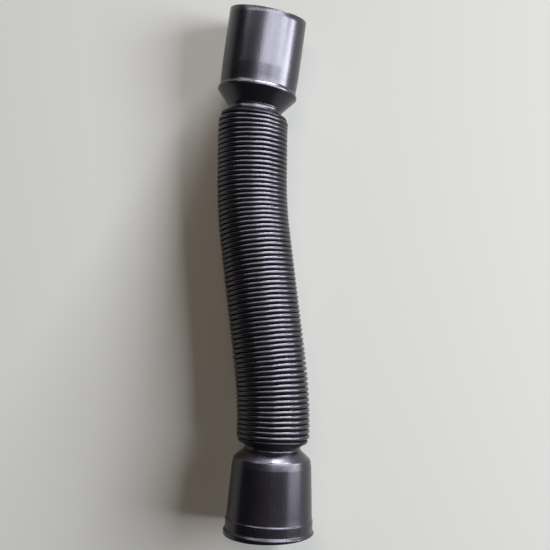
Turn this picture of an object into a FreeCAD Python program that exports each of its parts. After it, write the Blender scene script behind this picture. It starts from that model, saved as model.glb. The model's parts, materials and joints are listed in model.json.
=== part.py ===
"""Corrugated ventilation duct, blow-moulded in one piece of black plastic.

A plain cuff, a long bellows and a flared cuff with a lip follow each other along one
centreline, which runs down the page (-Y) and bends twice in a gentle S. The duct lies on
its side on the plane z = 0. Lengths are in millimetres and angles in degrees.
"""

import FreeCAD, Part
import Sketcher
import math
import os

SIZES = [
    ("crest_diameter", 60.0, "bellows, outside diameter over the crests"),
    ("end_crest_diameter", 57.2, "bellows, outside diameter over its first and last crest"),
    ("crest_depth", 3.0, "bellows, depth of a groove below the crests"),
    ("crest_land", 1.5, "bellows, length of the flat on top of a crest"),
    ("root_land", 0.3, "bellows, length of the flat at the bottom of a groove"),
    ("crest_pitch", 3.94, "bellows, distance between crests along the centreline"),
    ("crest_count", 70, "bellows, number of crests"),
    ("end_flank", 3.4, "bellows, length of the first and last flank, down to the necks"),
    ("crest_wall", 0.9, "bellows, wall over a crest, where the blown tube is stretched most"),
    ("root_wall", 1.6, "bellows, wall at the bottom of a groove"),
    ("neck_diameter", 46.0, "necks between the bellows and the cuffs, outside diameter"),
    ("cuff_wall", 1.0, "wall of the cuffs, shoulders and necks"),
    ("top_neck", 4.4, "plain cuff, length of its neck"),
    ("ridge_proud", 0.6, "plain cuff, height of the ridge round its neck, at the cone"),
    ("ridge_land", 0.7, "plain cuff, length of that ridge's top"),
    ("ridge_slope", 0.5, "plain cuff, length of that ridge's slope"),
    ("top_cone", 12.0, "plain cuff, length of the cone between neck and shoulder"),
    ("top_cuff", 69.2, "plain cuff, length from the shoulder to the rim, on the centreline"),
    ("top_diameter", 66.6, "plain cuff, outside diameter"),
    ("bead_proud", 0.7, "plain cuff, height of the shoulder bead over the cuff"),
    ("bead_land", 1.6, "plain cuff, length of the bead's top"),
    ("bead_slope", 2.0, "plain cuff, length of the slope from the bead down to the waist"),
    ("bead_round", 1.0, "plain cuff, rounding of the bead"),
    ("waist_depth", 0.7, "plain cuff, how much its radius is less at the waist next to the bead"),
    ("waist_length", 16.0, "plain cuff, length over which the waist grows to the full cuff"),
    ("trim_spare", 9.0, "plain cuff, length past the rim before it is trimmed"),
    ("trim_turn", 3.2, "plain cuff, how far its rim is cut out of square, seen from above"),
    ("trim_lean", 9.4, "plain cuff, how far its rim is cut out of square, seen from the side"),
    ("low_neck", 2.6, "flared cuff, length of its neck"),
    ("low_cone", 7.4, "flared cuff, length of the cone from the neck to the shoulder"),
    ("low_turn", 1.0, "flared cuff, how much its radius still grows over the shoulder"),
    ("low_shoulder", 5.9, "flared cuff, length of the shoulder, between cone and cuff"),
    ("low_cuff", 53.0, "flared cuff, length from the shoulder to the rim, on the centreline"),
    ("low_diameter", 65.0, "flared cuff, outside diameter past the shoulder"),
    ("low_flare", 4.8, "flared cuff, growth of its diameter from shoulder to lip"),
    ("low_round", 3.0, "flared cuff, rounding between cone and shoulder"),
    ("lip_length", 11.9, "flared cuff, length of the lip band with its bead"),
    ("lip_step", 0.6, "flared cuff, height of the step up to the lip band"),
    ("lip_slope", 0.8, "flared cuff, length of that step"),
    ("rim_proud", 1.3, "flared cuff, height of the rim bead over the lip band"),
    ("rim_slope", 1.6, "flared cuff, length of the slope up to the rim bead"),
    ("rim_land", 1.9, "flared cuff, length of the rim bead's top, on the centreline"),
    ("rim_round", 0.7, "flared cuff, rounding of the rim bead and the lip's step"),
    ("rim_spare", 4.0, "flared cuff, length past the rim before it is trimmed"),
    ("rim_turn", -2.5, "flared cuff, how far its rim is cut out of square, seen from above"),
    ("rim_lean", -1.0, "flared cuff, how far its rim is cut out of square, seen from the side"),
    ("upper_run", 34.0, "centreline, straight run of the bellows past its first bend"),
    ("lead_out", 1.0, "centreline, straight end of the bellows"),
    ("neck_bend", 160.0, "centreline, radius of the bend at the plain cuff's neck"),
    ("upper_bend", 360.0, "centreline, radius of the bend in the bellows' upper half"),
    ("lower_bend", 380.0, "centreline, radius of the bend next to the flared cuff"),
    ("top_heading", -8.0, "heading of the plain cuff from -Y towards +X"),
    ("upper_heading", -0.5, "heading of the bellows' upper run"),
    ("middle_heading", 6.8, "heading of the bellows' long middle run"),
    ("lower_heading", -2.9, "heading of the flared cuff"),
    ("top_rise", -3.88, "rise of the plain cuff, going down the page"),
    ("upper_rise", -2.03, "rise of the bellows' upper run"),
    ("middle_rise", 2.3, "rise of the bellows' long middle run"),
    ("lower_rise", 0.4, "rise of the flared cuff"),
]

doc = FreeCAD.newDocument("ventilation_duct")
sheet = doc.addObject("Spreadsheet::Sheet", "Sizes")
for row, (alias, value, meaning) in enumerate(SIZES, start=1):
    sheet.set(f"A{row}", meaning)
    sheet.set(f"B{row}", str(value))
    sheet.setAlias(f"B{row}", alias)
doc.recompute()


def size(alias):
    """The number that the sheet holds under this name."""
    return float(sheet.get(alias))


# Centreline


def direction(heading, rise):
    """Unit vector down the page, turned towards +X by heading and up by rise."""
    heading = math.radians(heading)
    rise = math.radians(rise)
    flat = math.cos(rise)
    return FreeCAD.Vector(flat * math.sin(heading), -flat * math.cos(heading), math.sin(rise))


def bend(start, before, after, radius):
    """Arc of this radius that turns a run at start from one direction to the next, and its end."""
    turn = before.getAngle(after)
    reach = radius * math.tan(turn / 2)
    corner = start + before * reach
    end = corner + after * reach
    inward = (after - before).normalize()
    middle = corner + inward * (radius / math.cos(turn / 2) - radius)
    return Part.Arc(start, middle, end).toShape(), end


def centreline(length):
    """Edges of the bellows' centreline: bend, straight, bend, straight, bend, straight."""
    top = direction(size("top_heading"), size("top_rise"))
    upper = direction(size("upper_heading"), size("upper_rise"))
    middle = direction(size("middle_heading"), size("middle_rise"))
    lower = direction(size("lower_heading"), size("lower_rise"))
    bent = size("neck_bend") * top.getAngle(upper)
    bent += size("upper_bend") * upper.getAngle(middle)
    bent += size("lower_bend") * middle.getAngle(lower)
    middle_run = length - bent - size("upper_run") - size("lead_out")

    start = FreeCAD.Vector()
    neck_arc, first = bend(start, top, upper, size("neck_bend"))
    second = first + upper * size("upper_run")
    upper_arc, third = bend(second, upper, middle, size("upper_bend"))
    fourth = third + middle * middle_run
    lower_arc, fifth = bend(fourth, middle, lower, size("lower_bend"))
    end = fifth + lower * size("lead_out")
    return [
        neck_arc,
        Part.makeLine(first, second),
        upper_arc,
        Part.makeLine(third, fourth),
        lower_arc,
        Part.makeLine(fifth, end),
    ]


def frame(point, forward):
    """Placement at a point: Z forward and X level."""
    level = forward.cross(FreeCAD.Vector(0, 0, 1)).normalize()
    rotation = FreeCAD.Rotation(level, forward.cross(level), forward, "ZXY")
    return FreeCAD.Placement(point, rotation)


def station(edges, distance):
    """Placement on the centreline at this distance from the start of the bellows."""
    at_edge = 0
    while at_edge < len(edges) - 1 and distance > edges[at_edge].Length:
        distance -= edges[at_edge].Length
        at_edge += 1
    edge = edges[at_edge]
    at = edge.getParameterByLength(min(distance, edge.Length))
    return frame(edge.valueAt(at), edge.tangentAt(at))


# Bellows


def bellows_length():
    """Length of the bellows along the centreline, from neck to neck."""
    crests = (size("crest_count") - 1) * size("crest_pitch") + size("crest_land")
    return crests + 2 * size("end_flank")


def ring(edges, distance, offset, radius):
    """Circle square to the centreline at a distance, moved straight ahead by an offset."""
    wire = Part.Wire(Part.makeCircle(radius))
    ahead = FreeCAD.Placement(FreeCAD.Vector(0, 0, offset), FreeCAD.Rotation())
    wire.Placement = station(edges, distance) * ahead
    return wire


def bellows_wall(edges, length):
    """Wall of the bellows: each crest is straight in itself, and the grooves take up the bends."""
    crest = size("crest_diameter") / 2
    end_crest = size("end_crest_diameter") / 2
    root = crest - size("crest_depth")
    neck = size("neck_diameter") / 2
    inner_neck = neck - size("cuff_wall")
    inner_root = root - size("root_wall")
    half_pitch = size("crest_pitch") / 2
    half_land = size("crest_land") / 2
    half_root = size("root_land") / 2
    first = size("end_flank") + half_land
    count = int(size("crest_count"))

    outside = [ring(edges, 0, 0, neck)]
    inside = [ring(edges, 0, 0, inner_neck)]
    for number in range(count):
        middle = first + number * size("crest_pitch")
        top = end_crest if number in (0, count - 1) else crest
        if number > 0:
            groove = middle - half_pitch
            outside.append(ring(edges, groove, -half_root, root))
            outside.append(ring(edges, groove, half_root, root))
            inside.append(ring(edges, groove, 0, inner_root))
        outside.append(ring(edges, middle, -half_land, top))
        outside.append(ring(edges, middle, half_land, top))
        inside.append(ring(edges, middle, 0, top - size("crest_wall")))
    outside.append(ring(edges, length, 0, neck))
    inside.append(ring(edges, length, 0, inner_neck))

    skins = Part.makeLoft(outside, False, True).Faces + Part.makeLoft(inside, False, True).Faces
    ends = [Part.makeFace([outside[at], inside[at]], "Part::FaceMakerBullseye") for at in (0, -1)]
    shell = Part.makeShell(skins + ends)
    shell.sewShape()
    return Part.makeSolid(shell)


# Cuffs


def plus(*parts):
    """Expression that adds up names of the sheet and other expressions."""
    return " + ".join(parts)


def walled(outline):
    """Closed outline of a wall: the outside, then the same corners inside, on the way back."""
    inside = [(f"{radius} - Sizes.cuff_wall", height) for radius, height in reversed(outline)]
    return outline + inside


def turned(name, outline, placement):
    """Body turned from a closed outline, whose corners are (radius, height) expressions."""
    body = doc.addObject("PartDesign::Body", name)
    sketch = body.newObject("Sketcher::SketchObject", f"{name}_outline")
    plane = next(item for item in body.Origin.OriginFeatures if item.Role == "XZ_Plane")
    sketch.AttachmentSupport = [(plane, "")]
    sketch.MapMode = "FlatFace"
    count = len(outline)
    corners = [FreeCAD.Vector(at + 1, at * at, 0) for at in range(count)]
    for at in range(count):
        line = Part.LineSegment(corners[at], corners[(at + 1) % count])
        sketch.addGeometry(line, False)
    for at in range(count):
        sketch.addConstraint(Sketcher.Constraint("Coincident", at, 2, (at + 1) % count, 1))
    for at, (radius, height) in enumerate(outline):
        across = Sketcher.Constraint("DistanceX", -1, 1, at, 1, corners[at].x)
        sketch.setExpression(f"Constraints[{sketch.addConstraint(across)}]", radius)
        along = Sketcher.Constraint("DistanceY", -1, 1, at, 1, corners[at].y)
        sketch.setExpression(f"Constraints[{sketch.addConstraint(along)}]", height)
    turning = body.newObject("PartDesign::Revolution", f"{name}_turned")
    turning.Profile = sketch
    turning.ReferenceAxis = (sketch, ["V_Axis"])
    turning.Angle = 360
    doc.recompute()
    body.Placement = placement
    doc.recompute()
    return body


def round_off(body, name, radius, corners):
    """Fillet of a turned body on the ring edges at these places in its list of corners."""
    outline = body.Group[0]
    base = body.Tip
    picked = []
    for corner in corners:
        point = outline.getPoint(corner, 1)
        for number, edge in enumerate(base.Shape.Edges, start=1):
            curve = edge.Curve
            if isinstance(curve, Part.Circle):
                off = abs(curve.Radius - point.x) + abs(curve.Center.z - point.y)
                if off < 1e-4:
                    picked.append(f"Edge{number}")
    fillet = body.newObject("PartDesign::Fillet", name)
    fillet.Base = (base, picked)
    fillet.setExpression("Radius", radius)
    doc.recompute()
    return fillet


def top_cuff(placement):
    """Plain cuff with a bead and a waist, longer than its rim until it is trimmed."""
    neck = "Sizes.neck_diameter / 2"
    ridge = plus(neck, "Sizes.ridge_proud")
    ridge_at = "Sizes.top_neck - Sizes.ridge_land"
    cuff = "Sizes.top_diameter / 2"
    bead = plus(cuff, "Sizes.bead_proud")
    shoulder = plus("Sizes.top_neck", "Sizes.top_cone")
    bead_end = plus(shoulder, "Sizes.bead_land")
    waist_at = plus(bead_end, "Sizes.bead_slope")
    cuff_start = plus(waist_at, "Sizes.waist_length")
    spare_end = plus(shoulder, "Sizes.top_cuff", "Sizes.trim_spare")
    outline = [
        (neck, "0"),
        (neck, f"{ridge_at} - Sizes.ridge_slope"),
        (ridge, ridge_at),
        (ridge, "Sizes.top_neck"),
        (bead, shoulder),
        (bead, bead_end),
        (f"{cuff} - Sizes.waist_depth", waist_at),
        (cuff, cuff_start),
        (cuff, spare_end),
    ]
    body = turned("top_cuff", walled(outline), placement)
    round_off(body, "top_bead_rounding", "Sizes.bead_round", [4, 5])
    return body


def low_cuff(placement):
    """Flared cuff with a rounded shoulder, a lip band and a rim bead, until it is trimmed."""
    neck = "Sizes.neck_diameter / 2"
    shoulder = "Sizes.low_diameter / 2"
    flared = plus(shoulder, "Sizes.low_flare / 2")
    lip = plus(flared, "Sizes.lip_step")
    rim = plus(lip, "Sizes.rim_proud")
    turn_at = plus("Sizes.low_neck", "Sizes.low_cone")
    shoulder_at = plus(turn_at, "Sizes.low_shoulder")
    rim_at = plus(shoulder_at, "Sizes.low_cuff")
    step_at = f"{rim_at} - Sizes.lip_length"
    land_at = f"{rim_at} - Sizes.rim_land"
    outline = [
        (neck, "0"),
        (neck, "Sizes.low_neck"),
        (f"{shoulder} - Sizes.low_turn", turn_at),
        (shoulder, shoulder_at),
        (flared, step_at),
        (lip, plus(step_at, "Sizes.lip_slope")),
        (lip, f"{land_at} - Sizes.rim_slope"),
        (rim, land_at),
        (rim, plus(rim_at, "Sizes.rim_spare")),
    ]
    body = turned("low_cuff", walled(outline), placement)
    round_off(body, "low_shoulder_rounding", "Sizes.low_round", [2])
    round_off(body, "low_rim_rounding", "Sizes.rim_round", [4, 5, 6, 7])
    return body


def trimmed(cuff, placement, rim_height, turn_by, lean_by):
    """A cuff with its rim cut off out of square, at this height on its axis."""
    tool = doc.addObject("Part::Box", f"{cuff.Label}_trim_tool")
    for side in ("Length", "Width", "Height"):
        tool.setExpression(side, "2 * Sizes.top_diameter")
    at_rim = FreeCAD.Placement(FreeCAD.Vector(0, 0, rim_height), FreeCAD.Rotation())
    turn = FreeCAD.Rotation(FreeCAD.Vector(0, 1, 0), turn_by)
    lean = FreeCAD.Rotation(FreeCAD.Vector(1, 0, 0), lean_by)
    tilt = FreeCAD.Placement(FreeCAD.Vector(), turn * lean)
    corner = FreeCAD.Vector(-size("top_diameter"), -size("top_diameter"), 0)
    to_corner = FreeCAD.Placement(corner, FreeCAD.Rotation())
    tool.Placement = placement * at_rim * tilt * to_corner
    cut = doc.addObject("Part::Cut", f"{cuff.Label}_trimmed")
    cut.Base = cuff
    cut.Tool = tool
    return cut


# The duct

length = bellows_length()
edges = centreline(length)

bellows = doc.addObject("Part::Feature", "bellows")
bellows.Shape = bellows_wall(edges, length)

start = edges[0]
top_end = frame(start.valueAt(start.FirstParameter), start.tangentAt(start.FirstParameter) * -1)
low_end = station(edges, length)

top_rim = size("top_neck") + size("top_cone") + size("top_cuff")
low_rim = size("low_neck") + size("low_cone") + size("low_shoulder") + size("low_cuff")
plain = trimmed(top_cuff(top_end), top_end, top_rim, size("trim_turn"), size("trim_lean"))
flared = trimmed(low_cuff(low_end), low_end, low_rim, size("rim_turn"), size("rim_lean"))

duct = doc.addObject("Part::MultiFuse", "duct")
duct.Shapes = [plain, bellows, flared]
doc.recompute()

# It lies on its side: the origin is under the middle of its box

box = duct.Shape.optimalBoundingBox(False)
duct.Placement.Base = FreeCAD.Vector(-box.Center.x, -box.Center.y, -box.ZMin)
doc.recompute()

for item in doc.Objects:
    if "Invalid" in item.State or "Error" in item.State:
        raise RuntimeError(f"{item.Name} failed: {item.State}")
if duct.Shape.isNull() or not duct.Shape.isValid() or len(duct.Shape.Solids) != 1:
    raise RuntimeError("the duct is not one valid solid")

os.makedirs("parts", exist_ok=True)
duct.Shape.exportStep(f"parts/{duct.Label}.step")
print("bellows", round(length, 2), "mm, volume", round(duct.Shape.Volume / 1000, 2), "cm3")
print("box", duct.Shape.optimalBoundingBox(False))
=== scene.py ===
"""Looks of the corrugated ventilation duct: its dressed wall, plastic, floor, light and camera.

The duct is one closed skin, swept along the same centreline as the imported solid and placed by
the plain cuff's bore. Sizes of the duct are written in millimetres and every mesh is in metres.
"""

import json
import math
import random

import bpy
from mathutils import Matrix, Vector, noise


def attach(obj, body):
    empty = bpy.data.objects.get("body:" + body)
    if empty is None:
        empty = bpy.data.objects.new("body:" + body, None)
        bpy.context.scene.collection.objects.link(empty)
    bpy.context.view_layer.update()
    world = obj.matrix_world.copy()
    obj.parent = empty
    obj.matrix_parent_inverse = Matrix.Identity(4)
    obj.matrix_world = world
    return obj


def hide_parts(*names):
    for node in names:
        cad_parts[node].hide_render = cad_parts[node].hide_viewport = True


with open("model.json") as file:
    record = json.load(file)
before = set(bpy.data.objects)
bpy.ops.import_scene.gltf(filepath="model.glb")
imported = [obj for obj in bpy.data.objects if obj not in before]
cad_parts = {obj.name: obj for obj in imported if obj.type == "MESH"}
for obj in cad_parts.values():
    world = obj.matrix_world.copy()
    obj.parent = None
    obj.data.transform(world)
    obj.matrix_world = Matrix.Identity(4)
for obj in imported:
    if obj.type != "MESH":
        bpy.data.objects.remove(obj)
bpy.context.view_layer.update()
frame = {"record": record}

MM = 0.001

random.seed(27)


# Driving sizes of the solid, in millimetres and degrees

CREST_RADIUS = 30.0
END_CREST_RADIUS = 28.6
CREST_DEPTH = 3.0
CREST_LAND = 1.5
ROOT_LAND = 0.3
CREST_PITCH = 3.94
CREST_COUNT = 70
END_FLANK = 3.4
CREST_WALL = 0.9
ROOT_WALL = 1.6
NECK_RADIUS = 23.0
CUFF_WALL = 1.0

TOP_NECK = 4.4
RIDGE_PROUD = 0.6
RIDGE_LAND = 0.7
RIDGE_SLOPE = 0.5
TOP_CONE = 12.0
TOP_CUFF = 69.2
TOP_RADIUS = 33.3
BEAD_PROUD = 0.7
BEAD_LAND = 1.6
BEAD_SLOPE = 2.0
WAIST_DEPTH = 0.7
WAIST_LENGTH = 16.0
TRIM_TURN = 3.2
TRIM_LEAN = 9.4

LOW_NECK = 2.6
LOW_CONE = 7.4
LOW_TURN = 1.0
LOW_SHOULDER = 5.9
LOW_CUFF = 53.0
LOW_RADIUS = 32.5
LOW_FLARE = 2.4
LIP_LENGTH = 11.9
LIP_STEP = 0.6
LIP_SLOPE = 0.8
RIM_PROUD = 1.3
RIM_SLOPE = 1.6
RIM_LAND = 1.9
RIM_TURN = 2.5
RIM_LEAN = 1.0

UPPER_RUN = 34.0
LEAD_OUT = 1.0
NECK_BEND = 160.0
UPPER_BEND = 360.0
LOWER_BEND = 380.0

# Directions of the plain cuff, the upper run, the middle run and the flared cuff

HEADINGS = (-8.0, -0.5, 6.8, -2.9)
RISES = (-3.88, -2.03, 2.3, 0.4)

# Length of the bellows, and heights over a neck's end of the plain cuff's waist and both rims

BELLOWS = (CREST_COUNT - 1) * CREST_PITCH + CREST_LAND + 2 * END_FLANK
TOP_WAIST = TOP_NECK + TOP_CONE + BEAD_LAND + BEAD_SLOPE
TOP_END = TOP_NECK + TOP_CONE + TOP_CUFF
LOW_END = LOW_NECK + LOW_CONE + LOW_SHOULDER + LOW_CUFF


# Small forms that the skin has over the plain solid, in millimetres

CREST_HALF_WIDTH = 1.72
CREST_ROUND = 1.6
BEAD_ROUND = 1.0
WAIST_ROUND = 3.0
CUFF_ROUND = 60.0
SHOULDER_ROUND = 3.0
EDGE_ROUND = 3.0
STEP_ROUND = 0.6
RIM_ROUND = 0.8
RIDGE_ROUND = 0.3
NECK_ROUND = 0.9
CUT_EDGE = 0.15
CREST_WANDER = 0.05
CREST_SWAY = 0.06
WAVE_DEPTH = 0.16
WAVE_LENGTH = 34.0

# The mould's parting line: its height on the bellows, the cuffs' share of that, and its width

SEAM_HEIGHT = 0.08
CUFF_SEAM = 0.25
SEAM_HALF_WIDTH = 0.35

# Its outline, as half widths across and shares of the height

SEAM_OUTLINE = ((-3, 0), (-1, 0), (0, 1), (1, 0), (3, 0))

# How finely the skin is divided

COLUMNS = 72
ARC_STEPS = 4
INSIDE_ARC_STEPS = 2
CREST_STEPS = 4
LONGEST_STRETCH = 6.0


# Black plastic, with the scales of its marks per metre

DARK_TONE = (0.0105, 0.009, 0.012, 1)
LIGHT_TONE = (0.015, 0.0128, 0.0165, 1)
DUST_TONE = (0.20, 0.19, 0.18, 1)
DUST_SHARE = 0.02
STREAK_SCALES = (900.0, 6.0, 1.0)
CLOUD_SCALE = 45.0
GRAIN_SCALE = 2600.0
PEEL_SCALE = 420.0
GLOSSIEST = 0.255
ROUGHEST = 0.285
STREAK_ROUGHNESS = 0.01
GROOVE_ROUGHNESS = 0.12
GRAIN_HEIGHT = 0.25
PEEL_HEIGHT = 1.2
STREAK_HEIGHT = 0.5
BUMP_STRENGTH = 0.35
BUMP_DISTANCE = 0.00002
PLASTIC_IOR = 1.5
SPECULAR_TINT = (0.89, 0.855, 1.0, 1)
# Reflection level on the crests and in the deepest grooves; the lower level in the grooves is
# painted shade
CREST_SPECULAR = 0.5
GROOVE_SHADE_SPECULAR = 0.08

# Ranges of the noises over which the plastic changes, and of the grooves' depth over which a
# painted shade dims its reflection

DUST_RANGE = (0.45, 0.75)
CLOUD_RANGE = (0.3, 0.7)
STREAK_RANGE = (0.35, 0.65)
GROOVE_SHADE_RANGE = (0.15, 0.6)


# Floor and room, with the floor's side in metres

FLOOR_COLOUR = (0.85, 0.845, 0.805, 1)
FLOOR_ROUGHNESS = 0.6
FLOOR_SIDE = 8.0
ROOM_COLOUR = (1.0, 0.92, 0.84, 1)
ROOM_STRENGTH = 0.03
BACKDROP_COLOUR = (0.52, 0.52, 0.5, 1)


# Lamps: the point that they face, how far from it they are, in metres, and their colours

LAMP_AIM = Vector((0.0, 0.0, 0.03))
HIGH_DISTANCE = 2.0
LOW_DISTANCE = 12.0
PALE = (0.92, 0.955, 1.0)
WARM = (1.0, 0.82, 0.66)


# Camera: place and sensor in millimetres, pitch in degrees, focal length and photo in pixels

CAMERA_PLACE = Vector((9.11, -66.71, 619.13))
CAMERA_PITCH = 5.3
FOCAL_PIXELS = 700.0
PHOTO_SIZE = 550
SENSOR_WIDTH = 36.0


# Centreline


def direction(heading, rise):
    """Unit vector down the page, turned towards +X by heading and up by rise."""
    heading, rise = math.radians(heading), math.radians(rise)
    flat = math.cos(rise)
    return Vector((flat * math.sin(heading), -flat * math.cos(heading), math.sin(rise)))


class Run:
    """A straight stretch of the centreline."""

    def __init__(self, start, forward, length):
        self.start, self.forward, self.length = start, forward, length

    def at(self, distance):
        """Point and direction at a distance from its start."""
        return self.start + self.forward * distance, self.forward

    def end(self):
        return self.at(self.length)[0]


class Bend:
    """An arc of the centreline, from one direction to the next."""

    def __init__(self, start, before, after, radius):
        self.start, self.before, self.radius = start, before, radius
        self.length = radius * before.angle(after)
        self.inward = (after - before * after.dot(before)).normalized()

    def at(self, distance):
        """Point and direction at a distance from its start."""
        turn = distance / self.radius
        ahead = self.before * (self.radius * math.sin(turn))
        aside = self.inward * (self.radius * (1 - math.cos(turn)))
        forward = self.before * math.cos(turn) + self.inward * math.sin(turn)
        return self.start + ahead + aside, forward

    def end(self):
        return self.at(self.length)[0]


def centreline(start):
    """Stretches of the bellows' centreline: a tight bend, then straight and bent by turns."""
    cuff, upper, middle, lower = [direction(h, r) for h, r in zip(HEADINGS, RISES)]
    neck_bend = Bend(start, cuff, upper, NECK_BEND)
    upper_run = Run(neck_bend.end(), upper, UPPER_RUN)
    upper_bend = Bend(upper_run.end(), upper, middle, UPPER_BEND)
    before = neck_bend.length + UPPER_RUN + upper_bend.length
    after = LOWER_BEND * middle.angle(lower) + LEAD_OUT
    middle_run = Run(upper_bend.end(), middle, BELLOWS - before - after)
    lower_bend = Bend(middle_run.end(), middle, lower, LOWER_BEND)
    lead_out = Run(lower_bend.end(), lower, LEAD_OUT)
    return [neck_bend, upper_run, upper_bend, middle_run, lower_bend, lead_out]


def station(runs, distance):
    """Point and direction at a distance from the start of the bellows."""
    for run in runs[:-1]:
        if distance <= run.length:
            return run.at(distance)
        distance -= run.length
    return runs[-1].at(distance)


def neck_start():
    """Centre of the wall between the plain cuff's neck and the bellows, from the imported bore."""
    bore = next(m for m in frame["record"]["mounts"] if m["name"] == "plain_cuff_bore")
    to_middle = TOP_WAIST + WAIST_LENGTH + bore["dims"]["length_mm"] / 2
    return Vector(bore["pos_m"]) / MM - Vector(bore["axis"]).normalized() * to_middle


# Outlines of the wall: corners are (distance along, radius, rounding)


def rounded(corners, steps):
    """Points of an outline whose corners are rounded by arcs of their own radius."""
    points = [corners[0][:2]]
    for before, corner, after in zip(corners, corners[1:], corners[2:]):
        here, rounding = Vector(corner[:2]), corner[2]
        if rounding == 0:
            points.append(corner[:2])
            continue
        back = (Vector(before[:2]) - here).normalized()
        ahead = (Vector(after[:2]) - here).normalized()
        turn = math.pi - back.angle(ahead)
        reach = rounding * math.tan(turn / 2)
        start, end = here + back * reach, here + ahead * reach
        middle = here + (back + ahead).normalized() * (rounding / math.cos(turn / 2))
        for step in range(steps + 1):
            spoke = (start - middle).lerp(end - middle, step / steps).normalized()
            points.append(tuple(middle + spoke * rounding))
    points.append(corners[-1][:2])
    return points


def plain_cuff_corners(wall):
    """The plain cuff from its neck out, as heights over the neck's end, this wall inside."""
    neck, cuff = NECK_RADIUS - wall, TOP_RADIUS - wall
    ridge, bead = neck + RIDGE_PROUD, cuff + BEAD_PROUD
    shoulder = TOP_NECK + TOP_CONE
    return [
        (0, neck, 0),
        (TOP_NECK - RIDGE_LAND - RIDGE_SLOPE, neck, RIDGE_ROUND),
        (TOP_NECK - RIDGE_LAND, ridge, RIDGE_ROUND),
        (TOP_NECK, ridge, NECK_ROUND),
        (shoulder, bead, BEAD_ROUND),
        (shoulder + BEAD_LAND, bead, BEAD_ROUND),
        (TOP_WAIST, cuff - WAIST_DEPTH, WAIST_ROUND),
        (TOP_WAIST + WAIST_LENGTH, cuff, CUFF_ROUND),
        (TOP_END, cuff, 0),
    ]


def flared_cuff_corners(wall):
    """The flared cuff from its neck out, as heights over the neck's end, this wall inside."""
    neck, shoulder = NECK_RADIUS - wall, LOW_RADIUS - wall
    flared = shoulder + LOW_FLARE
    lip = flared + LIP_STEP
    rim = lip + RIM_PROUD
    turn = LOW_NECK + LOW_CONE
    step = LOW_END - LIP_LENGTH
    return [
        (0, neck, 0),
        (LOW_NECK, neck, NECK_ROUND),
        (turn, shoulder - LOW_TURN, SHOULDER_ROUND),
        (turn + LOW_SHOULDER, shoulder, EDGE_ROUND),
        (step, flared, STEP_ROUND),
        (step + LIP_SLOPE, lip, STEP_ROUND),
        (LOW_END - RIM_LAND - RIM_SLOPE, lip, RIM_ROUND),
        (LOW_END - RIM_LAND, rim, RIM_ROUND),
        (LOW_END, rim, 0),
    ]


def cut_edge(corners, side):
    """The same corners with the outline's last edge broken, outside (-1) or inside (1)."""
    height, radius, _ = corners[-1]
    return corners[:-1] + [(height - CUT_EDGE, radius, 0), (height, radius + side * CUT_EDGE, 0)]


def stretched(points, longest):
    """The same outline with points added where two lie further apart than this."""
    result = [points[0]]
    for (x0, r0), (x1, r1) in zip(points, points[1:]):
        pieces = max(1, math.ceil(abs(x1 - x0) / longest))
        for piece in range(1, pieces + 1):
            share = piece / pieces
            result.append((x0 + (x1 - x0) * share, r0 + (r1 - r0) * share))
    return result


def cuff_outline(corners_at, outside):
    """Points of one cuff's outline, on the outside or one wall further in."""
    wall, side, steps = (0, -1, ARC_STEPS) if outside else (CUFF_WALL, 1, INSIDE_ARC_STEPS)
    return stretched(rounded(cut_edge(corners_at(wall), side), steps), LONGEST_STRETCH)


def crest_outline(radius):
    """Outline of one round crest about its middle, down to the narrow groove at each side."""
    root = CREST_RADIUS - CREST_DEPTH
    foot = (CREST_PITCH - ROOT_LAND) / 2
    corners = [
        (-foot, root, 0),
        (-CREST_HALF_WIDTH, radius, CREST_ROUND),
        (CREST_HALF_WIDTH, radius, CREST_ROUND),
        (foot, root, 0),
    ]
    return rounded(corners, CREST_STEPS)[1:-1]


# Rings of the skin


class Ring:
    """One ring of the skin: its place on the centreline, and how it departs from a circle."""

    def __init__(self, distance, offset, radius, outside, sway=(0, 0), seam=0):
        self.distance, self.offset, self.radius = distance, offset, radius
        self.outside, self.sway, self.seam = outside, sway, seam

    def along(self):
        """Its distance from the start of the bellows."""
        return self.distance + self.offset

    def groove(self):
        """How deep it lies in the bellows' grooves: 0 on a crest or a cuff, 1 at the bottom."""
        if not 0 < self.along() < BELLOWS or not self.outside:
            return 0
        return min(1, max(0, (CREST_RADIUS - self.radius) / CREST_DEPTH))


def slant(turn, lean):
    """Slopes across and up of a rim that is cut out of square by these degrees."""
    turn, lean = math.radians(turn), math.radians(lean)
    return math.tan(turn), math.tan(lean) / math.cos(turn)


def plain_cuff_rings(outside):
    """Rings of the plain cuff. Its rim is cut out of square, which starts from its waist."""
    turn, lean = slant(TRIM_TURN, TRIM_LEAN)
    rings = []
    for height, radius in cuff_outline(plain_cuff_corners, outside):
        share = max(0, (height - TOP_WAIST) / (TOP_END - TOP_WAIST)) * radius
        sway = (-turn * share, lean * share)
        rings.append(Ring(0, -height, radius, outside, sway, CUFF_SEAM * outside))
    return rings


def flared_cuff_rings(outside):
    """Rings of the flared cuff. Its rim is cut out of square, within the bead's top."""
    turn, lean = slant(RIM_TURN, RIM_LEAN)
    rings = []
    for height, radius in cuff_outline(flared_cuff_corners, outside):
        share = max(0, (height - LOW_END + RIM_LAND) / RIM_LAND) * radius
        sway = (turn * share, lean * share)
        rings.append(Ring(BELLOWS, height, radius, outside, sway, CUFF_SEAM * outside))
    return rings


def crest_departures():
    """Small departures of each crest from its place: a shift along, and a sway across and up."""
    spreads = (CREST_WANDER, CREST_SWAY, CREST_SWAY)
    return [[random.gauss(0, spread) for spread in spreads] for _ in range(CREST_COUNT)]


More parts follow.
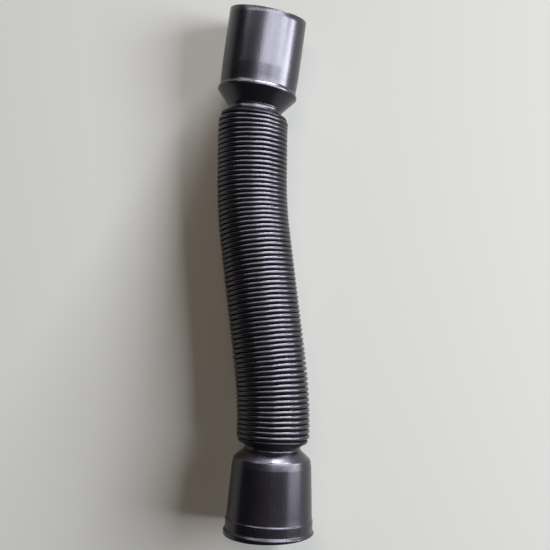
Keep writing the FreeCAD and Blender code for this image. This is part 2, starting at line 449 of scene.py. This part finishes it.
def bellows_rings(outside, departures):
    """Rings of the bellows. Each crest is straight in itself and the grooves take up the bends."""
    rings = []
    root = CREST_RADIUS - CREST_DEPTH
    for number in range(CREST_COUNT):
        middle = END_FLANK + CREST_LAND / 2 + number * CREST_PITCH
        top = END_CREST_RADIUS if number in (0, CREST_COUNT - 1) else CREST_RADIUS
        before = middle - CREST_PITCH / 2
        if number > 0 and outside:
            rings.append(Ring(before, -ROOT_LAND / 2, root, True))
            rings.append(Ring(before, ROOT_LAND / 2, root, True))
        elif number > 0:
            rings.append(Ring(before, 0, root - ROOT_WALL, False))
        shift, across, up = departures[number]
        outline = crest_outline(top) if outside else [(0, top - CREST_WALL)]
        for offset, radius in outline:
            rings.append(Ring(middle, offset + shift, radius, outside, (across, up)))
    return rings


def duct_rings():
    """All rings of the closed skin: outside from the plain rim to the other, then back inside."""
    departures = crest_departures()
    sides = []
    for outside in (True, False):
        rings = plain_cuff_rings(outside)[::-1]
        rings += bellows_rings(outside, departures)
        rings += flared_cuff_rings(outside)
        sides.append(rings)
    return sides[0] + sides[1][::-1]


# The skin


def columns():
    """Places round the ring: an angle, a shift along the arc and the seam's share of height.

    The mould's parting line runs along the top and the bottom.
    """
    places = []
    for column in range(COLUMNS):
        angle = -math.pi / 2 + 2 * math.pi * column / COLUMNS
        if column % (COLUMNS // 2):
            places.append((angle, 0, 0))
        else:
            places += [(angle, across * SEAM_HALF_WIDTH, seam) for across, seam in SEAM_OUTLINE]
    return places


def ring_points(ring, runs, places):
    """Points of one ring, in millimetres."""
    centre, forward = station(runs, ring.distance)
    level = forward.cross(Vector((0, 0, 1))).normalized()
    up = level.cross(forward)
    points = []
    for angle, shift, seam in places:
        angle = angle + shift / ring.radius
        offset = ring.offset + ring.sway[0] * math.cos(angle) + ring.sway[1] * math.sin(angle)
        spoke = level * math.cos(angle) + up * math.sin(angle)
        wave = noise.noise((centre + forward * offset + spoke * ring.radius) / WAVE_LENGTH)
        radius = ring.radius - WAVE_DEPTH * (0.5 + 0.5 * wave) + SEAM_HEIGHT * seam * ring.seam
        points.append(centre + forward * offset + spoke * radius)
    return points


def build_skin(name):
    """The duct's skin as one closed mesh, with its distance along and round as UV, in metres."""
    runs = centreline(neck_start())
    places = columns()
    rings = duct_rings()
    wide = len(places)
    vertices = [point * MM for ring in rings for point in ring_points(ring, runs, places)]
    round_wall = [2 * math.pi * CREST_RADIUS * MM * at / wide for at in range(wide + 1)]
    faces = []
    corners = []
    for at, ring in enumerate(rings):
        following = (at + 1) % len(rings)
        here, there = at * wide, following * wide
        start, end = ring.along() * MM, rings[following].along() * MM
        for column in range(wide):
            beside = (column + 1) % wide
            faces.append((here + column, there + column, there + beside, here + beside))
            left, right = round_wall[column], round_wall[column + 1]
            corners += [(left, start), (left, end), (right, end), (right, start)]
    mesh = bpy.data.meshes.new(name)
    mesh.from_pydata(vertices, [], faces)
    wall = mesh.uv_layers.new(name="wall")
    wall.data.foreach_set("uv", [value for corner in corners for value in corner])
    groove = mesh.attributes.new("groove", "FLOAT", "POINT")
    groove.data.foreach_set("value", [ring.groove() for ring in rings for _ in places])
    mesh.shade_smooth()
    mesh.update()
    skin = bpy.data.objects.new(name, mesh)
    bpy.context.scene.collection.objects.link(skin)
    return skin


# Materials


class Nodes:
    """The node tree of a new material or world, with short ways to fill it."""

    def __init__(self, owner):
        owner.use_nodes = True
        self.tree = owner.node_tree
        self.tree.nodes.clear()

    def add(self, kind, slots=None, **properties):
        """A node of this kind. Its slots take a value each, or the output of another node."""
        node = self.tree.nodes.new(kind)
        for name, value in properties.items():
            setattr(node, name, value)
        for name, value in (slots or {}).items():
            if isinstance(value, bpy.types.NodeSocket):
                self.tree.links.new(value, node.inputs[name])
            else:
                node.inputs[name].default_value = value
        return node

    def product(self, first, second):
        """Product of two values."""
        return self.add("ShaderNodeMath", {0: first, 1: second}, operation="MULTIPLY").outputs[0]

    def total(self, *values):
        """Sum of two or more values."""
        result = values[0]
        for value in values[1:]:
            result = self.add("ShaderNodeMath", {0: result, 1: value}, operation="ADD").outputs[0]
        return result

    def noise(self, vector, scale, detail, roughness):
        """Soft noise over these places, from 0 to 1."""
        slots = {"Vector": vector, "Scale": scale, "Detail": detail, "Roughness": roughness}
        return self.add("ShaderNodeTexNoise", slots).outputs["Fac"]

    def remap(self, value, before, after):
        """The value carried over from one range to another, and held at that one's ends."""
        slots = {"Value": value, "From Min": before[0], "From Max": before[1]}
        slots.update({"To Min": after[0], "To Max": after[1]})
        return self.add("ShaderNodeMapRange", slots).outputs["Result"]

    def scaled(self, vector, scales):
        """The vector with each of its parts scaled."""
        return self.add("ShaderNodeMapping", {"Vector": vector, "Scale": scales}).outputs["Vector"]

    def mixed(self, share, first, second):
        """Mix of two colours, which are slots 6 and 7 of the node and its output 2."""
        slots = {0: share, 6: first, 7: second}
        return self.add("ShaderNodeMix", slots, data_type="RGBA").outputs[2]


def black_plastic():
    """Blown black plastic: a semi-gloss skin with streaks along it, grain, orange peel, dust, and a
    painted shade that dims the grooves' reflection.
    """
    material = bpy.data.materials.new("black_plastic")
    nodes = Nodes(material)
    place = nodes.add("ShaderNodeTexCoord").outputs["Object"]
    wall = nodes.add("ShaderNodeUVMap", uv_map="wall").outputs["UV"]
    depth = nodes.add("ShaderNodeAttribute", attribute_name="groove").outputs["Fac"]

    streak = nodes.noise(nodes.scaled(wall, STREAK_SCALES), scale=1.0, detail=2.0, roughness=0.5)
    clouds = nodes.noise(place, CLOUD_SCALE, detail=4.0, roughness=0.6)
    grain = nodes.noise(place, GRAIN_SCALE, detail=2.0, roughness=0.6)
    peel = nodes.noise(place, PEEL_SCALE, detail=2.0, roughness=0.5)

    dust = nodes.product(depth, nodes.remap(clouds, DUST_RANGE, (0.0, DUST_SHARE)))
    base = nodes.mixed(dust, nodes.mixed(clouds, DARK_TONE, LIGHT_TONE), DUST_TONE)

    rough = nodes.total(
        nodes.remap(clouds, CLOUD_RANGE, (GLOSSIEST, ROUGHEST)),
        nodes.remap(streak, STREAK_RANGE, (-STREAK_ROUGHNESS, STREAK_ROUGHNESS)),
        nodes.product(depth, GROOVE_ROUGHNESS),
    )
    # Painted shade: the grooves reflect less the deeper they lie, which darkens them as if shaded
    specular = nodes.remap(depth, GROOVE_SHADE_RANGE, (CREST_SPECULAR, GROOVE_SHADE_SPECULAR))
    height = nodes.total(
        nodes.product(grain, GRAIN_HEIGHT),
        nodes.product(peel, PEEL_HEIGHT),
        nodes.product(streak, STREAK_HEIGHT),
    )
    bump = nodes.add("ShaderNodeBump", {
        "Height": height,
        "Strength": BUMP_STRENGTH,
        "Distance": BUMP_DISTANCE,
    })
    shader = nodes.add("ShaderNodeBsdfPrincipled", {
        "Base Color": base,
        "Roughness": rough,
        "IOR": PLASTIC_IOR,
        "Normal": bump.outputs["Normal"],
        "Specular IOR Level": specular,
        "Specular Tint": SPECULAR_TINT,
    })
    nodes.add("ShaderNodeOutputMaterial", {"Surface": shader.outputs["BSDF"]})
    return material


def pale_paint():
    """Plain pale surface of the floor."""
    material = bpy.data.materials.new("pale_floor")
    nodes = Nodes(material)
    slots = {"Base Color": FLOOR_COLOUR, "Roughness": FLOOR_ROUGHNESS}
    shader = nodes.add("ShaderNodeBsdfPrincipled", slots)
    nodes.add("ShaderNodeOutputMaterial", {"Surface": shader.outputs["BSDF"]})
    return material


# Floor, room, lamps and camera


def pale_floor():
    """A plain pale floor that the duct lies on."""
    bpy.ops.mesh.primitive_plane_add(size=FLOOR_SIDE, location=(0, 0, 0))
    plane = bpy.context.object
    plane.name = "floor"
    plane.data.materials.append(pale_paint())
    return plane


def dim_room():
    """A dim even room, which the camera sees as a pale backdrop."""
    world = bpy.data.worlds.new("room")
    nodes = Nodes(world)
    room = nodes.add("ShaderNodeBackground", {"Color": ROOM_COLOUR, "Strength": ROOM_STRENGTH})
    backdrop = nodes.add("ShaderNodeBackground", {"Color": BACKDROP_COLOUR})
    seen = nodes.add("ShaderNodeLightPath").outputs["Is Camera Ray"]
    slots = {0: seen, 1: room.outputs["Background"], 2: backdrop.outputs["Background"]}
    mix = nodes.add("ShaderNodeMixShader", slots)
    nodes.add("ShaderNodeOutputWorld", {"Surface": mix.outputs["Shader"]})
    bpy.context.scene.world = world


def outward(turn, lean):
    """Direction that is turned from straight up towards +X and leaned towards +Y, in degrees."""
    turn, lean = math.radians(turn), math.radians(lean)
    flat = math.cos(lean)
    return Vector((math.sin(turn) * flat, math.sin(lean), math.cos(turn) * flat))


def lamp(name, far, out, across, wide, deep, radiance, colour):
    """A rectangular lamp that faces the duct, of even radiance. Its sides are in degrees."""
    across = (across - out * across.dot(out)).normalized()
    along = out.cross(across)
    light = bpy.data.lights.new(name, "AREA")
    light.shape = "RECTANGLE"
    light.size = 2 * far * math.tan(math.radians(wide / 2))
    light.size_y = 2 * far * math.tan(math.radians(deep / 2))
    light.energy = radiance * math.pi * light.size * light.size_y
    light.color = colour
    body = bpy.data.objects.new(name, light)
    turned = Matrix((across, along, out)).transposed().to_4x4()
    body.matrix_world = Matrix.Translation(LAMP_AIM + out * far) @ turned
    body.visible_camera = False
    bpy.context.scene.collection.objects.link(body)
    return body


def high_lamp(name, turns, leans, radiance, colour=PALE):
    """A lamp overhead that fills these turns across the duct and these leans along it."""
    turn, lean = sum(turns) / 2, sum(leans) / 2
    wide = (turns[1] - turns[0]) * math.cos(math.radians(lean))
    out, across = outward(turn, lean), outward(turn + 90, 0)
    return lamp(name, HIGH_DISTANCE, out, across, wide, leans[1] - leans[0], radiance, colour)


def low_lamp(name, headings, rises, radiance, colour=PALE):
    """A lamp near the floor that fills these headings from +X to +Y and these rises."""
    heading, rise = sum(headings) / 2, sum(rises) / 2
    wide = (headings[1] - headings[0]) * math.cos(math.radians(rise))
    out = direction(90 + heading, rise)
    across = out.cross(Vector((0, 0, 1)))
    return lamp(name, LOW_DISTANCE, out, across, wide, rises[1] - rises[0], radiance, colour)


def highlight_lamps(skin):
    """Lamps that show in the duct's gloss alone: not in its colour, and not on the floor."""
    lit = bpy.data.collections.new("highlit")
    lit.objects.link(skin)
    for body in (
        high_lamp("upper_left", (-60, 5), (34, 52), 8.0),
        high_lamp("upper_right", (5, 55), (26, 50), 18.0),
        high_lamp("strip_end", (-22, -8), (14, 24), 1.2),
        high_lamp("strip_left", (-8, 5), (13, 22), 11.0),
        high_lamp("strip_middle", (5, 20), (12, 22), 25.0),
        high_lamp("strip_bright", (20, 35), (12, 22), 24.5),
        high_lamp("strip_right", (35, 50), (6, 22), 18.5),
        high_lamp("corner_upper", (50, 65), (10, 26), 26.0),
        high_lamp("corner_lower", (50, 88), (-3, 6), 9.5),
        high_lamp("corner_bright", (65, 77), (6, 16), 26.0),
        high_lamp("corner_right", (77, 88), (6, 22), 36.0),
        high_lamp("side", (50, 88), (-15, -3), 6.5),
        low_lamp("window_right", (50, 62), (2, 12), 80.0),
        low_lamp("window", (62, 74), (2, 12), 50.0),
        low_lamp("window_far", (74, 86), (2, 12), 85.0),
        low_lamp("window_left", (90, 120), (3, 16), 9.0),
    ):
        body.light_linking.receiver_collection = lit
        body.visible_diffuse = False


def plain_lamps():
    """Lamps that light the duct's colour and the floor at a plain level, and show in no gloss."""
    for body in (
        high_lamp("plain_side", (38, 65), (-15, 14), 9.5),
        high_lamp("plain_fill", (-20, 5), (14, 30), 3.3, WARM),
        low_lamp("plain_window", (58, 78), (2, 12), 120.0),
    ):
        body.visible_glossy = False


def photo_camera():
    """The photo's camera, which looks down on the duct with a small pitch."""
    data = bpy.data.cameras.new("camera")
    data.sensor_fit = "HORIZONTAL"
    data.sensor_width = SENSOR_WIDTH
    data.lens = FOCAL_PIXELS * SENSOR_WIDTH / PHOTO_SIZE
    camera = bpy.data.objects.new("camera", data)
    camera.location = CAMERA_PLACE * MM
    camera.rotation_euler = (math.radians(CAMERA_PITCH), 0, 0)
    bpy.context.scene.collection.objects.link(camera)
    bpy.context.scene.camera = camera


# The scene

duct = build_skin("duct_skin")
duct.data.materials.append(black_plastic())
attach(duct, "root")
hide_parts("duct")

floor = pale_floor()

highlight_lamps(duct)
plain_lamps()
dim_room()
photo_camera()
bpy.context.scene.view_settings.view_transform = "Standard"
